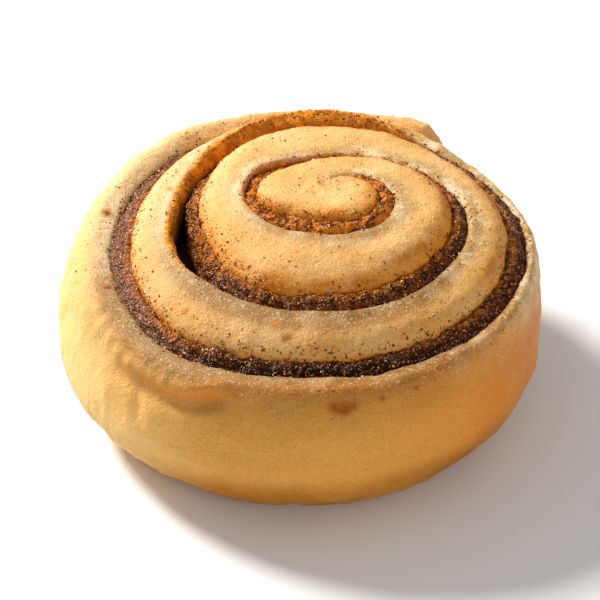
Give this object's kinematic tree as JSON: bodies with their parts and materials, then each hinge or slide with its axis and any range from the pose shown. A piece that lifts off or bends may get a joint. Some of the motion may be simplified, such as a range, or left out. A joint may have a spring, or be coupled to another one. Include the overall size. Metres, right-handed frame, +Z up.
{
  "type": "cinnamon roll",
  "caption": "Round baked bun of yeast dough wound in a spiral around a dark cinnamon sugar filling, with a domed top and a flat base.",
  "frame": {"origin": "under the middle of the bun, on the surface that it stands on", "axes": "+Z up; the swirl winds clockwise from the middle out, seen from above, and the strip's tail ends at the back, towards +Y"},
  "size_m": [0.096, 0.096, 0.045],
  "materials": {
    "dough": "soft golden crumb and crust",
    "cinnamon_filling": "moist, grainy"
  },
  "bodies": {
    "root": {"dough": "dough", "cinnamon_filling": "cinnamon_filling"}
  },
  "joints": []
}
